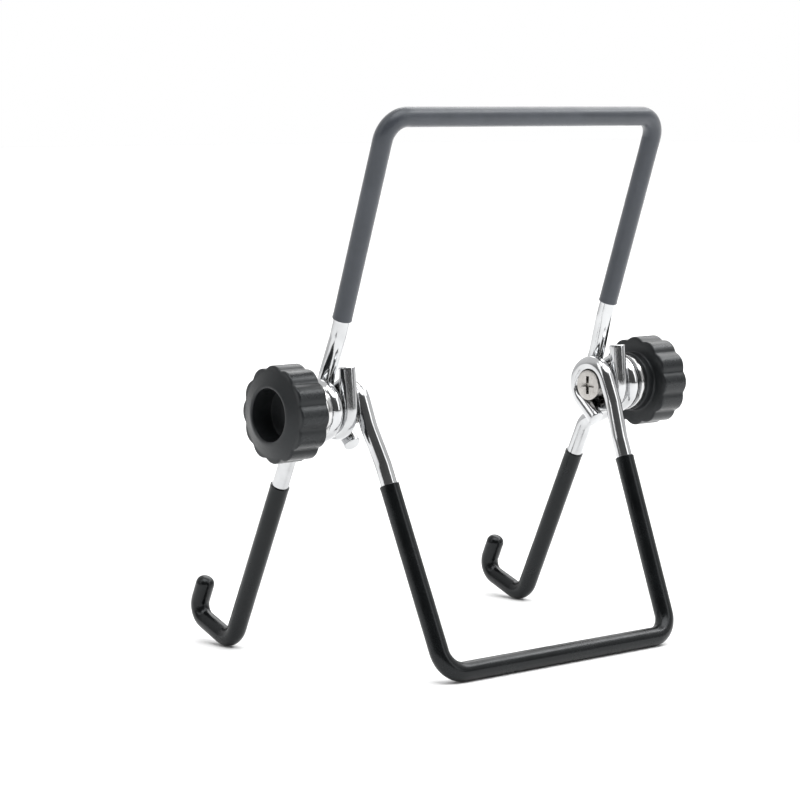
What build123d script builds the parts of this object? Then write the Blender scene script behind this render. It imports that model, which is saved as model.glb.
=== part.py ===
"""Folding wire stand for a phone or a small tablet.

An upper U frame, a rear leg and two hooks are bent from round wire and turn on
two clamp bolts, one at each side. A knob on each bolt squeezes the wire eyes
together, so the stand holds the angle it is set to.

Frame: +X to the user's right, +Y to the back, +Z up. The origin lies on the
surface that the stand rests on, at the centre of the stand's outline.
"""
import math
import os

from build123d import *

os.makedirs("parts", exist_ok=True)

# ---------------------------------------------------------------- wire stock
WIRE_R = 1.85                 # plated steel wire, 3.7 mm across
SLEEVE_R = 2.15               # soft sleeve drawn over the wire, 4.3 mm across
SLEEVE_LIP = 0.12             # rounding of a sleeve's cut end
CAP_ROUND = 1.4               # rounding of a hook sleeve's closed end
JOG_R = 12.0                  # gentle bends where an arm leaves its eye's plane
WIRE_CHAMFER = 0.25           # broken edge at a cut end of the wire
CAP_BEYOND_WIRE = 1.0         # a hook's sleeve is closed this far past the wire

# ------------------------------------------------------------- hinge geometry
AXIS_HEIGHT = 56.3            # clamp bolts above the resting surface
BOLT_R = 3.0                  # M6
EYE_CLEARANCE = 0.06
EYE_R = BOLT_R + EYE_CLEARANCE + WIRE_R    # centreline radius of every eye

REAR_EYE_X = 36.6             # half spacing of each pair of eyes
UPPER_EYE_X = 40.4
HOOK_EYE_X = 44.45

# ---------------------------------------------------------------- upper frame
UPPER_TILT = 19.5             # leans back from the vertical
UPPER_RISE = 62.2             # centre of the top bar above the bolts
UPPER_ARM_X = 39.7            # half spacing of the arms
UPPER_JOG_START = 6.0         # arm leaves the eye's plane, along the arm
UPPER_JOG_END = 15.0
UPPER_CORNER_R = 5.2
UPPER_TAIL_LEAN = 5.0
UPPER_TAIL_LENGTH = 9.0
UPPER_SLEEVE_RISE = 19.3      # sleeve ends this far above the bolts

# ------------------------------------------------------------------- rear leg
REAR_TILT = 23.0              # reaches back from the vertical
REAR_ARM_X = 35.45            # half spacing where the sleeve begins
REAR_FOOT_X = 33.5            # half spacing at the foot bar
REAR_JOG_START = 6.0
REAR_JOG_END = 14.5
REAR_CORNER_R = 5.2
REAR_TAIL_TURN = 48.0         # direction of the eye's tail from the vertical
REAR_TAIL_LENGTH = 6.3
REAR_SLEEVE_DROP = 15.6       # sleeve begins this far below the bolts

# ---------------------------------------------------------------------- hooks
HOOK_TILT = 25.3              # leg reaches forwards from the vertical
HOOK_LEG_OFFSET = 5.7         # leg's line passes this far in front of the bolt
HOOK_RUN_RISE = 24.0          # rise of the short run under the bolt
HOOK_ELBOW_R = 3.6
HOOK_HEEL_R = 4.3
HOOK_TOE_RISE = 20.0          # the toe climbs forwards from the heel
HOOK_TOE_LENGTH = 14.5
HOOK_TIP_R = 3.6
HOOK_TIP_LENGTH = 8.5
HOOK_EYE_END = 188.0          # angle at which the eye's arc stops
HOOK_SLEEVE_DROP = 17.7       # sleeve begins this far below the bolts

# ------------------------------------------------------- clamp bolt and knob
HEAD_R = 3.5                  # countersunk head, sunk into the rear leg's eye
HEAD_SEAT = 1.42              # from the eye's middle to the underside of the rim
HEAD_RIM = 0.3
HEAD_CONE_R = 3.4
HEAD_CONE_LENGTH = 0.4
HEAD_ROUND = 0.12
CROSS_LENGTH = 4.2
CROSS_WIDTH = 0.9
CROSS_DEPTH = 1.3
BOLT_END_X = 52.2
BOLT_CHAMFER = 0.6

WASHER_R = 6.5
WASHER_BORE_R = 3.2
WASHER_THICKNESS = 1.5
WASHER_GAP = 0.05             # running gap to the hook's eye
WASHER_CHAMFER = 0.2

KNOB_R = 10.45
KNOB_LENGTH = 7.2             # of the grip between its two rims
KNOB_LOBES = 12
KNOB_LOBE_R = 3.4
KNOB_VALLEY_R = 1.2           # softening of the valleys between the lobes
KNOB_ROUND = 0.4              # rounding of the two rims
KNOB_CROWN_R = 9.5            # the face rises as a cone from here to its recess
KNOB_CROWN_TOP_R = 6.3
KNOB_CROWN_HEIGHT = 1.1
KNOB_BOSS_R = 6.8
KNOB_BOSS_LENGTH = 2.25
KNOB_BORE_R = 3.25
KNOB_RECESS_R = 5.65
KNOB_RECESS_DEPTH = 5.0
KNOB_RECESS_ROUND = 0.3

NUT_FLATS = 10.0              # M6 hexagon nut, moulded in behind the recess
NUT_THICKNESS = 4.0
NUT_COVER = 0.9               # plastic between the nut and the recess
NUT_BORE_R = BOLT_R + 0.05
NUT_CHAMFER = 0.35

# ----------------------------------------------------- side view construction
# Points are (y, z) from the bolt axis. Angles run from +Y towards +Z.
FLOOR = -AXIS_HEIGHT
SAME = 0.01                   # points and radii closer than this are the same


def direction(angle):
    """Unit vector in the side view; 0 points back and 90 points up."""
    turn = math.radians(angle)
    return math.cos(turn), math.sin(turn)


def along(point, angle, distance):
    """Point reached from point by going distance at angle."""
    step = direction(angle)
    return point[0] + step[0] * distance, point[1] + step[1] * distance


def meeting(point_a, angle_a, point_b, angle_b):
    """Where two lines of the side view cross."""
    a, b = direction(angle_a), direction(angle_b)
    slant = a[0] * b[1] - a[1] * b[0]
    gap = point_b[0] - point_a[0], point_b[1] - point_a[1]
    return along(point_a, angle_a, (gap[0] * b[1] - gap[1] * b[0]) / slant)


def bend_centre(corner, angle_back, angle_on, radius):
    """Centre of a bend at corner, between the directions of its two runs."""
    half = math.radians(abs(angle_on - angle_back) / 2)
    return along(corner, (angle_back + angle_on) / 2, radius / math.sin(half))


UPPER_ARM_ANGLE = 90 - UPPER_TILT
upper_tangent = along((0, 0), UPPER_ARM_ANGLE + 90, EYE_R)
upper_top = meeting(upper_tangent, UPPER_ARM_ANGLE, (0, UPPER_RISE), 0)
upper_sleeve_end = meeting(upper_tangent, UPPER_ARM_ANGLE, (0, UPPER_SLEEVE_RISE), 0)

REAR_ARM_ANGLE = REAR_TILT - 90
rear_tangent = along((0, 0), REAR_ARM_ANGLE + 90, EYE_R)
rear_foot = meeting(rear_tangent, REAR_ARM_ANGLE, (0, FLOOR + SLEEVE_R), 0)
rear_sleeve_end = meeting(rear_tangent, REAR_ARM_ANGLE, (0, -REAR_SLEEVE_DROP), 0)

HOOK_LEG_ANGLE = 90 - HOOK_TILT          # seen from the heel, looking up the leg
HOOK_TOE_ANGLE = 180 - HOOK_TOE_RISE
hook_run_start = along((0, 0), HOOK_RUN_RISE - 90, EYE_R)
hook_leg_top = -HOOK_LEG_OFFSET, 0
hook_elbow = meeting(hook_run_start, HOOK_RUN_RISE, hook_leg_top, HOOK_LEG_ANGLE)
hook_sleeve_end = meeting((0, -HOOK_SLEEVE_DROP), 0, hook_leg_top, HOOK_LEG_ANGLE)

# The round of the heel touches the floor, not the corner of its centreline.
heel_rise = bend_centre((0, 0), HOOK_LEG_ANGLE, HOOK_TOE_ANGLE, HOOK_HEEL_R)[1]
heel_height = FLOOR + SLEEVE_R + HOOK_HEEL_R - heel_rise
hook_heel = meeting((0, heel_height), 0, hook_leg_top, HOOK_LEG_ANGLE)
hook_toe = along(hook_heel, HOOK_TOE_ANGLE, HOOK_TOE_LENGTH)
hook_tip = along(hook_toe, HOOK_LEG_ANGLE, HOOK_TIP_LENGTH)

# The origin is under the middle of the outline, so the bolts stand back from it.
toe_centre = bend_centre(hook_toe, HOOK_TOE_ANGLE - 180, HOOK_LEG_ANGLE, HOOK_TIP_R)
front_reach = HOOK_TIP_R + SLEEVE_R - toe_centre[0]
back_reach = rear_foot[0] + SLEEVE_R
AXIS_Y = (front_reach - back_reach) / 2

# stations along +X on the clamp bolt
HEAD_X = REAR_EYE_X - HEAD_SEAT
WASHER_X = HOOK_EYE_X + WIRE_R + WASHER_GAP
BOSS_X = WASHER_X + WASHER_THICKNESS
KNOB_X = BOSS_X + KNOB_BOSS_LENGTH
CROWN_X = KNOB_X + KNOB_LENGTH
KNOB_FACE_X = CROWN_X + KNOB_CROWN_HEIGHT
RECESS_X = KNOB_FACE_X - KNOB_RECESS_DEPTH
NUT_X = RECESS_X - NUT_COVER - NUT_THICKNESS


# ------------------------------------------------------------- shared helpers
ON_PLANE = (Align.CENTER, Align.CENTER, Align.MIN)


def place(x, side_point):
    """Point of the model for a side view point at distance x from the middle."""
    return Vector(x, AXIS_Y + side_point[0], AXIS_HEIGHT + side_point[1])


def across(x):
    """Plane across the bolt axis at x; its own x points back and its y up."""
    origin = (x, AXIS_Y, AXIS_HEIGHT)
    return Plane(origin=origin, x_dir=(0, 1, 0), z_dir=(1, 0, 0))


def disc(x, radius, length):
    """Cylinder on the bolt axis that begins at x and runs outwards."""
    return extrude(across(x) * Circle(radius), length)


def eye(x, start, turn):
    """Arc of a wire's eye around the bolt axis."""
    return across(x) * CenterArc((0, 0), EYE_R, start, turn)


def tube(edges, radius, bore=0.0):
    """Round wire, or a sleeve where bore is given, that follows the edges."""
    path = Wire(edges)
    start = Plane(origin=path @ 0, z_dir=path % 0)
    section = start * Circle(radius)
    if bore:
        section -= start * Circle(bore)
    return sweep(section, path=path)


def end_edges(body, point, radius):
    """The circular edges of the given radius around a cut end at point."""
    rings = body.edges().filter_by(GeomType.CIRCLE)
    near = [ring for ring in rings if (ring.arc_center - point).length < SAME]
    return [ring for ring in near if abs(ring.radius - radius) < SAME]


def both_halves(half):
    """A frame from its +X half."""
    return half + mirror(half, about=Plane.YZ)


def other_side(body):
    """The same piece at the -X side."""
    return mirror(body, about=Plane.YZ)


# ---------------------------------------------------------------- upper frame
def upper_points(last):
    """Centreline of the +X half, from the middle of the top bar to last."""
    jog_end = along(upper_tangent, UPPER_ARM_ANGLE, UPPER_JOG_END)
    jog_start = along(upper_tangent, UPPER_ARM_ANGLE, UPPER_JOG_START)
    bar = [place(0, upper_top), place(UPPER_ARM_X, upper_top)]
    if last == "sleeve":
        return bar + [place(UPPER_ARM_X, upper_sleeve_end)]
    return bar + [
        place(UPPER_ARM_X, jog_end),
        place(UPPER_EYE_X, jog_start),
        place(UPPER_EYE_X, upper_tangent),
    ]


def upper_frame_wire():
    arm = FilletPolyline(*upper_points("eye"), radius=[UPPER_CORNER_R, JOG_R, JOG_R])
    start = UPPER_ARM_ANGLE + 90
    end = 360 + UPPER_TAIL_LEAN
    loop = eye(UPPER_EYE_X, start, end - start)
    tail_start = along((0, 0), end, EYE_R)
    tail_end = place(UPPER_EYE_X, along(tail_start, end + 90, UPPER_TAIL_LENGTH))
    tail = Line(place(UPPER_EYE_X, tail_start), tail_end)
    half = tube([*arm.edges(), loop, tail], WIRE_R)
    half = chamfer(end_edges(half, tail_end, WIRE_R), WIRE_CHAMFER)
    return both_halves(half)


def upper_frame_sleeve():
    points = upper_points("sleeve")
    arm = FilletPolyline(*points, radius=[UPPER_CORNER_R])
    half = tube(arm.edges(), SLEEVE_R, WIRE_R)
    half = fillet(end_edges(half, points[-1], SLEEVE_R), SLEEVE_LIP)
    return both_halves(half)


# ------------------------------------------------------------------- rear leg
def rear_arm_x(distance):
    """Half spacing of the arms at a distance from the eye, past the jog."""
    whole = math.dist(rear_tangent, rear_foot)
    share = (distance - REAR_JOG_END) / (whole - REAR_JOG_END)
    return REAR_ARM_X + (REAR_FOOT_X - REAR_ARM_X) * share


def rear_points(last):
    """Centreline of the +X half, from the middle of the foot bar to last."""
    bar = [place(0, rear_foot), place(REAR_FOOT_X, rear_foot)]
    if last == "sleeve":
        distance = math.dist(rear_tangent, rear_sleeve_end)
        return bar + [place(rear_arm_x(distance), rear_sleeve_end)]
    jog_end = along(rear_tangent, REAR_ARM_ANGLE, REAR_JOG_END)
    jog_start = along(rear_tangent, REAR_ARM_ANGLE, REAR_JOG_START)
    return bar + [
        place(REAR_ARM_X, jog_end),
        place(REAR_EYE_X, jog_start),
        place(REAR_EYE_X, rear_tangent),
    ]


def rear_leg_wire():
    arm = FilletPolyline(*rear_points("eye"), radius=[REAR_CORNER_R, JOG_R, JOG_R])
    start = REAR_ARM_ANGLE + 90
    end = 180 + REAR_TAIL_TURN
    loop = eye(REAR_EYE_X, start, end - start)
    tail_start = along((0, 0), end, EYE_R)
    tail_end = place(REAR_EYE_X, along(tail_start, end + 90, REAR_TAIL_LENGTH))
    tail = Line(place(REAR_EYE_X, tail_start), tail_end)
    half = tube([*arm.edges(), loop, tail], WIRE_R)
    half = chamfer(end_edges(half, tail_end, WIRE_R), WIRE_CHAMFER)
    return both_halves(half)


def rear_leg_sleeve():
    points = rear_points("sleeve")
    arm = FilletPolyline(*points, radius=[REAR_CORNER_R])
    half = tube(arm.edges(), SLEEVE_R, WIRE_R)
    half = fillet(end_edges(half, points[-1], SLEEVE_R), SLEEVE_LIP)
    return both_halves(half)


# ---------------------------------------------------------------------- hooks
def hook_wire():
    """The +X hook, bent in one plane, with its eye closed over the bolt."""
    side_points = [hook_tip, hook_toe, hook_heel, hook_elbow, hook_run_start]
    points = [place(HOOK_EYE_X, side_point) for side_point in side_points]
    leg = FilletPolyline(*points, radius=[HOOK_TIP_R, HOOK_HEEL_R, HOOK_ELBOW_R])
    start = HOOK_RUN_RISE - 90
    loop = eye(HOOK_EYE_X, start, HOOK_EYE_END - start)
    wire = tube([*leg.edges(), loop], WIRE_R)
    eye_end = place(HOOK_EYE_X, along((0, 0), HOOK_EYE_END, EYE_R))
    ends = end_edges(wire, eye_end, WIRE_R) + end_edges(wire, points[0], WIRE_R)
    return chamfer(ends, WIRE_CHAMFER)


def hook_sleeve(wire):
    """Soft sleeve over a hook's leg and toe, closed and rounded at the tip."""
    cap_end = along(hook_tip, HOOK_LEG_ANGLE, CAP_BEYOND_WIRE)
    side_points = [cap_end, hook_toe, hook_heel, hook_sleeve_end]
    points = [place(HOOK_EYE_X, side_point) for side_point in side_points]
    leg = FilletPolyline(*points, radius=[HOOK_TIP_R, HOOK_HEEL_R])
    cover = tube(leg.edges(), SLEEVE_R)
    cover = fillet(end_edges(cover, points[0], SLEEVE_R), CAP_ROUND)
    cover = fillet(end_edges(cover, points[-1], SLEEVE_R), SLEEVE_LIP)
    return cover - wire


# ----------------------------------------------------- clamp bolt and hardware
def clamp_bolt():
    """M6 bolt; its head, with a cross recess, is sunk into the rear leg's eye."""
    face_x = HEAD_X - HEAD_RIM
    head = disc(face_x, HEAD_R, HEAD_RIM)
    head = fillet(head.edges().sort_by(Axis.X)[0], HEAD_ROUND)
    cone = Cone(HEAD_CONE_R, BOLT_R, HEAD_CONE_LENGTH, align=ON_PLANE)
    cross = across(face_x) * (
        Rectangle(CROSS_LENGTH, CROSS_WIDTH) + Rectangle(CROSS_WIDTH, CROSS_LENGTH)
    )
    shank = disc(HEAD_X, BOLT_R, BOLT_END_X - HEAD_X)
    shank = chamfer(shank.edges().sort_by(Axis.X)[-1], BOLT_CHAMFER)
    return head + across(HEAD_X) * cone + shank - extrude(cross, CROSS_DEPTH)


def flat_washer():
    ring = disc(WASHER_X, WASHER_R, WASHER_THICKNESS)
    ring = chamfer(ring.edges().filter_by(GeomType.CIRCLE), WASHER_CHAMFER)
    return ring - disc(WASHER_X, WASHER_BORE_R, WASHER_THICKNESS)


def knob_outline():
    """Round grip with shallow lobes and softened valleys."""
    lobes = PolarLocations(KNOB_R - KNOB_LOBE_R, KNOB_LOBES) * Circle(KNOB_LOBE_R)
    outline = Circle(KNOB_R - KNOB_LOBE_R) + lobes
    return fillet(outline.vertices(), KNOB_VALLEY_R)


def knob():
    grip = extrude(across(KNOB_X) * knob_outline(), KNOB_LENGTH)
    grip = fillet(grip.edges().filter_by(Plane.YZ), KNOB_ROUND)
    crown = Cone(KNOB_CROWN_R, KNOB_CROWN_TOP_R, KNOB_CROWN_HEIGHT, align=ON_PLANE)
    grip += across(CROWN_X) * crown
    grip += disc(BOSS_X, KNOB_BOSS_R, KNOB_BOSS_LENGTH + KNOB_ROUND)
    grip -= disc(RECESS_X, KNOB_RECESS_R, KNOB_RECESS_DEPTH)
    mouth = end_edges(grip, place(KNOB_FACE_X, (0, 0)), KNOB_RECESS_R)
    grip = fillet(mouth, KNOB_RECESS_ROUND)
    grip -= extrude(across(NUT_X) * nut_outline(), NUT_THICKNESS)
    return grip - disc(BOSS_X, KNOB_BORE_R, NUT_X - BOSS_X)


def nut_outline():
    return RegularPolygon(NUT_FLATS / 2, 6, major_radius=False)


def knob_nut():
    """Steel nut moulded into the knob, threaded on the clamp bolt."""
    corner_r = NUT_FLATS / math.sqrt(3)
    turned = disc(NUT_X, corner_r, NUT_THICKNESS)
    turned = chamfer(turned.edges().sort_by(Axis.X)[-1], NUT_CHAMFER)
    nut = turned & extrude(across(NUT_X) * nut_outline(), NUT_THICKNESS)
    return nut - disc(NUT_X, NUT_BORE_R, NUT_THICKNESS)


# ---------------------------------------------------------------- all the nodes
right_hook_wire = hook_wire()
right_pieces = {
    "hook_wire": right_hook_wire,
    "hook_sleeve": hook_sleeve(right_hook_wire),
    "clamp_bolt": clamp_bolt(),
    "flat_washer": flat_washer(),
    "knob": knob(),
    "knob_nut": knob_nut(),
}

nodes = {
    "upper_frame_wire": upper_frame_wire(),
    "upper_frame_sleeve": upper_frame_sleeve(),
    "rear_leg_wire": rear_leg_wire(),
    "rear_leg_sleeve": rear_leg_sleeve(),
}
for name, piece in right_pieces.items():
    nodes["right_" + name] = piece
    nodes["left_" + name] = other_side(piece)

for name, piece in nodes.items():
    export_step(piece, f"parts/{name}.step")

print(f"bolt axis at y {AXIS_Y:.3f} mm, z {AXIS_HEIGHT:.3f} mm")
print(f"outline from y {AXIS_Y - front_reach:.3f} to {AXIS_Y + back_reach:.3f} mm")
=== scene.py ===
"""Looks of the folding wire phone stand.

Every piece is built here in millimetres from the bolt axis and placed in the
CAD frame: +X to the user's right, +Y to the back, +Z up. Side view points are
(y, z) pairs; their angles run from +Y towards +Z.
"""
import math

import bpy
import numpy as np
from mathutils import Matrix, Vector


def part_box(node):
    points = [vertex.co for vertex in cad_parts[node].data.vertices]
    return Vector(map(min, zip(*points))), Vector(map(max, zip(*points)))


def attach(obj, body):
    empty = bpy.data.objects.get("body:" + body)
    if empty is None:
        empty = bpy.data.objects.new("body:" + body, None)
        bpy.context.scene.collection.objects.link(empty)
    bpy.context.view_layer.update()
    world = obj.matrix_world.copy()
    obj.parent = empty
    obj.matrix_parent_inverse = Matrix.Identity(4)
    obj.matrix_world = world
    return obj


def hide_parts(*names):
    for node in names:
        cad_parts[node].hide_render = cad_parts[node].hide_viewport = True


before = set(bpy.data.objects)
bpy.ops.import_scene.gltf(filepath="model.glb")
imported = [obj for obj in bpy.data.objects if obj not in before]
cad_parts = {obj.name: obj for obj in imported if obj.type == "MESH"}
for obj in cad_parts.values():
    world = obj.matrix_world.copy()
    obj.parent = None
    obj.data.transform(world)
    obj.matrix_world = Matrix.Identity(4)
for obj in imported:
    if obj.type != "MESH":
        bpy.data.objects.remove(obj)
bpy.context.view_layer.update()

MM = 0.001
X, Y, Z = range(3)


def low(node, axis):
    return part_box(node)[0][axis] / MM


def high(node, axis):
    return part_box(node)[1][axis] / MM


def middle(node, axis):
    return (low(node, axis) + high(node, axis)) / 2


def width(node, axis):
    return high(node, axis) - low(node, axis)


# ------------------------------------------------- sizes taken from the frame
AXIS_Y = middle("right_clamp_bolt", Y)
AXIS_Z = middle("right_clamp_bolt", Z)
WIRE_R = width("right_hook_wire", X) / 2
SLEEVE_R = width("right_hook_sleeve", X) / 2
REAR_EYE_X = high("rear_leg_wire", X) - WIRE_R
UPPER_EYE_X = high("upper_frame_wire", X) - WIRE_R
HOOK_EYE_X = middle("right_hook_wire", X)
UPPER_ARM_X = high("upper_frame_sleeve", X) - SLEEVE_R
UPPER_RISE = high("upper_frame_sleeve", Z) - SLEEVE_R - AXIS_Z
FLOOR = low("rear_leg_sleeve", Z) - AXIS_Z
HEAD_FACE_X = low("right_clamp_bolt", X)
HEAD_R = width("right_clamp_bolt", Z) / 2
BOLT_END_X = high("right_clamp_bolt", X)
WASHER_X = low("right_flat_washer", X)
WASHER_END_X = high("right_flat_washer", X)
WASHER_R = width("right_flat_washer", Z) / 2
BOSS_X = low("right_knob", X)
KNOB_FACE_X = high("right_knob", X)
KNOB_R = width("right_knob", Z) / 2
NUT_X = low("right_knob_nut", X)
NUT_END_X = high("right_knob_nut", X)
NUT_FLATS = width("right_knob_nut", Z)

# ------------------------------------------------------ sizes of the bent wires
BOLT_R = 3.0
EYE_GAP = 0.06                # between a bolt and the eyes around it
EYE_R = BOLT_R + EYE_GAP + WIRE_R
JOG_R = 12.0
CORNER_R = 5.2

UPPER_TILT = 19.5
UPPER_JOG_START = 6.0
UPPER_JOG_END = 15.0
UPPER_TAIL_LEAN = 5.0
UPPER_TAIL_LENGTH = 9.0
UPPER_SLEEVE_RISE = 19.3

REAR_TILT = 23.0
REAR_ARM_X = 35.45
REAR_FOOT_X = 33.5
REAR_JOG_START = 6.0
REAR_JOG_END = 14.5
REAR_TAIL_TURN = 48.0
REAR_TAIL_LENGTH = 6.3
REAR_SLEEVE_DROP = 15.6

HOOK_TILT = 25.3
HOOK_LEG_OFFSET = 5.7
HOOK_RUN_RISE = 24.0
HOOK_ELBOW_R = 3.6
HOOK_HEEL_R = 4.3
HOOK_TOE_RISE = 20.0
HOOK_TOE_LENGTH = 14.5
HOOK_TIP_R = 3.6
HOOK_TIP_LENGTH = 8.5
HOOK_EYE_END = 188.0
HOOK_SLEEVE_DROP = 17.7
CAP_BEYOND_WIRE = 1.0
CAP_FLOOR_MARGIN = 0.02       # least depth of the bore's floor past the wire's tip

# --------------------------------------------------------- fine detail of pieces
RING_SIDES = 40               # vertices around a wire
PATH_STEP = 0.2               # spacing of the points that a path is worked out at
BEND_STEP = 0.45              # spacing of rings round a bend
RUN_STEP = 1.3                # spacing of rings along a straight run
END_RINGS = 7                 # rings over a rounded end
LIP_RINGS = 4                 # and over the swelling next to it
CUT_ROUND = 0.3               # a cropped wire's broken edge
SLEEVE_INNER_R = WIRE_R + 0.015
SLEEVE_LIP = 0.14             # a sleeve's cut end is rounded by this much
LIP_SWELL = 0.05              # and stands this proud of the sleeve
LIP_LENGTH = 1.1
LIP_FADE = 3.0                # how soon the swelling dies away
CAP_ROUND = 1.7
WRINKLE = 0.055               # folds on the inside of a sleeve's bends
WRINKLE_PITCH = 1.05
WRINKLE_ONSET = 4.0           # how soon they come in as a bend tightens
WAVER = 0.018                 # unevenness of a soft sleeve's thickness
WAVER_WAVES = 0.71, 0.23, 1.9  # radians per millimetre: long, drifting and short
WAVER_DRIFT = 2.1             # radians that the long wave is shifted by
SAME_POINT = 1e-6             # points nearer than this are one

HARD_CREASE = 32              # degrees above which an edge is drawn sharp
NUT_CREASE = 25
SOFT_CREASE = 50

TURN_SIDES = 96               # vertices around a turned piece
THREAD_PITCH = 1.0
THREAD_DEPTH = 0.58
THREAD_STEP = 0.1
THREAD_FLANK = 2.6            # steepness of the thread's sides
THREAD_CREST = 0.15           # lowers the flanks, so that the crest is flat
THREAD_START_X = WASHER_X - 0.6
BOLT_BEVEL = 0.75             # at the threaded end
BOLT_BEVEL_SLOPE = 0.9
SHANK_R = BOLT_R - 0.02
SHANK_RINGS = 6
NECK_RUN = 0.6                # from the head's cone to the first of them

HEAD_RIM = 0.3                # countersunk head: cylindrical rim, then a cone
HEAD_CONE_R = 3.4
HEAD_CONE_LENGTH = 0.4
HEAD_ROUND = 0.12
HEAD_DOME = 0.05              # how far the head's face falls towards its rim
HEAD_SEAT_BREAK = 0.05        # broken edge under the rim
HEAD_FACE_SHARES = 0.05, 0.3, 0.55, 0.75, 0.9      # rings over the head's face
CROSS_REACH = 2.1
CROSS_HALF = 0.45
CROSS_DEPTH = 1.3
CROSS_ABOVE = 0.3             # share of its depth that the cutter stands proud
CROSS_MOUTH = 1.1             # how much wider it is there
CROSS_TAPER = 0.66            # and how much narrower at the bottom

WASHER_BORE_R = BOLT_R + 0.2
WASHER_EDGE = 0.12            # rounding of the sharper side
WASHER_ROLL = 0.38            # and of the rolled side
WASHER_BORE_ROUND = 0.25
WASHER_DISH = 0.02            # hollow of the rolled side
WASHER_DISH_RUN = 1.4
WASHER_FLAT_RUN = 1.2

KNOB_LOBES = 12
KNOB_LOBE_R = 3.4
KNOB_VALLEY_SOFT = 0.2        # softening of the valleys between the lobes
KNOB_ROUND = 0.45
KNOB_SIDES = 360
KNOB_BODY_X = BOSS_X + 2.25
KNOB_CROWN_X = KNOB_FACE_X - 1.1
KNOB_CROWN_R = 9.5            # the face rises as a shallow cone to its recess
KNOB_CROWN_TOP_R = 6.3
KNOB_BOSS_R = 6.8
KNOB_BORE_R = 3.25
KNOB_RECESS_R = 5.65
KNOB_RECESS_DRAFT = 0.12
KNOB_MOUTH_ROUND = 0.3
KNOB_NECK_ROUND = 0.45        # fillet between the boss and the body
KNOB_BOSS_ROUND = 0.35
KNOB_BORE_ROUND = 0.25
KNOB_BACK_R = 8.4, 9.2        # rings on the body's flat back
KNOB_SHOULDER_R = 9.75        # ring between the lobes and the crown
KNOB_SHOULDER_RISE = 0.02
KNOB_SIDE_RINGS = 6           # rings along the lobes
KNOB_SIDE_INSET = 1.0         # from the lobes' ends to the first and last of them
KNOB_CROWN_RINGS = 8
KNOB_CROWN_START = 0.02       # share of the crown's height at its lowest ring
KNOB_WALL_SHARES = 0.3, 0.65, 0.92   # rings down the recess's wall
RECESS_X = KNOB_FACE_X - 5.0
RECESS_FLOOR = (0.08, 5.4), (0, 5.2), (0, 3.0), (0, 0.6)     # (height, radius)
POCKET_GAP = 0.02             # between the nut and the plastic moulded round it

NUT_SIDES = 144
NUT_BORE_R = BOLT_R + 0.05
NUT_CHAMFER = 0.12            # cone that turns off its corners: depth, slope, length
NUT_CHAMFER_SLOPE = 1.7
NUT_CHAMFER_LENGTH = 1.0
NUT_OUTER_LEAD = 0.5, 0.45    # countersink of the bore: widening and depth
NUT_INNER_LEAD = 0.4
NUT_INNER_RING = 0.3          # extra ring near the inner face

# ------------------------------------------------------------ camera and light
CAMERA_AZIMUTH = 139.76       # degrees, from the front towards the user's right
CAMERA_ELEVATION = 6.35
CAMERA_DISTANCE = 0.59187
CAMERA_RIGHT = -0.01691       # how far the aim is from the bolt axis
CAMERA_UP = -0.00095
CAMERA_LENS = 118.98
SENSOR_WIDTH = 36.0
BACKDROP_LIFT = 30            # degrees that the brightest part of the room is up
# brightness of the room, from behind the camera (0) to the backdrop (1)
ROOM_LEVELS = ((0.0, 0.08), (0.36, 0.12), (0.5, 0.35), (0.62, 0.86), (1.0, 0.95))
FLOOR_HALF = 6.0              # metres from the middle of the floor to its edge
LIGHT_DISTANCE = 1.1


# ------------------------------------------------------- side view construction
def direction(angle):
    turn = math.radians(angle)
    return math.cos(turn), math.sin(turn)


def along(point, angle, distance):
    step = direction(angle)
    return point[0] + step[0] * distance, point[1] + step[1] * distance


def meeting(point_a, angle_a, point_b, angle_b):
    """Where two lines of the side view cross."""
    a, b = direction(angle_a), direction(angle_b)
    slant = a[0] * b[1] - a[1] * b[0]
    gap = point_b[0] - point_a[0], point_b[1] - point_a[1]
    return along(point_a, angle_a, (gap[0] * b[1] - gap[1] * b[0]) / slant)


UPPER_ARM_ANGLE = 90 - UPPER_TILT
upper_tangent = along((0, 0), UPPER_ARM_ANGLE + 90, EYE_R)
upper_top = meeting(upper_tangent, UPPER_ARM_ANGLE, (0, UPPER_RISE), 0)
upper_sleeve_end = meeting(upper_tangent, UPPER_ARM_ANGLE, (0, UPPER_SLEEVE_RISE), 0)

REAR_ARM_ANGLE = REAR_TILT - 90
rear_tangent = along((0, 0), REAR_ARM_ANGLE + 90, EYE_R)
rear_foot = meeting(rear_tangent, REAR_ARM_ANGLE, (0, FLOOR + SLEEVE_R), 0)
rear_sleeve_end = meeting(rear_tangent, REAR_ARM_ANGLE, (0, -REAR_SLEEVE_DROP), 0)

HOOK_LEG_ANGLE = 90 - HOOK_TILT
HOOK_TOE_ANGLE = 180 - HOOK_TOE_RISE
hook_run_start = along((0, 0), HOOK_RUN_RISE - 90, EYE_R)
hook_leg_top = -HOOK_LEG_OFFSET, 0
hook_elbow = meeting(hook_run_start, HOOK_RUN_RISE, hook_leg_top, HOOK_LEG_ANGLE)
hook_sleeve_end = meeting((0, -HOOK_SLEEVE_DROP), 0, hook_leg_top, HOOK_LEG_ANGLE)
heel_half = math.radians((HOOK_TOE_ANGLE - HOOK_LEG_ANGLE) / 2)
heel_aim = (HOOK_LEG_ANGLE + HOOK_TOE_ANGLE) / 2
heel_rise = along((0, 0), heel_aim, HOOK_HEEL_R / math.sin(heel_half))[1]
heel_height = FLOOR + SLEEVE_R + HOOK_HEEL_R - heel_rise
hook_heel = meeting((0, heel_height), 0, hook_leg_top, HOOK_LEG_ANGLE)
hook_toe = along(hook_heel, HOOK_TOE_ANGLE, HOOK_TOE_LENGTH)
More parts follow.
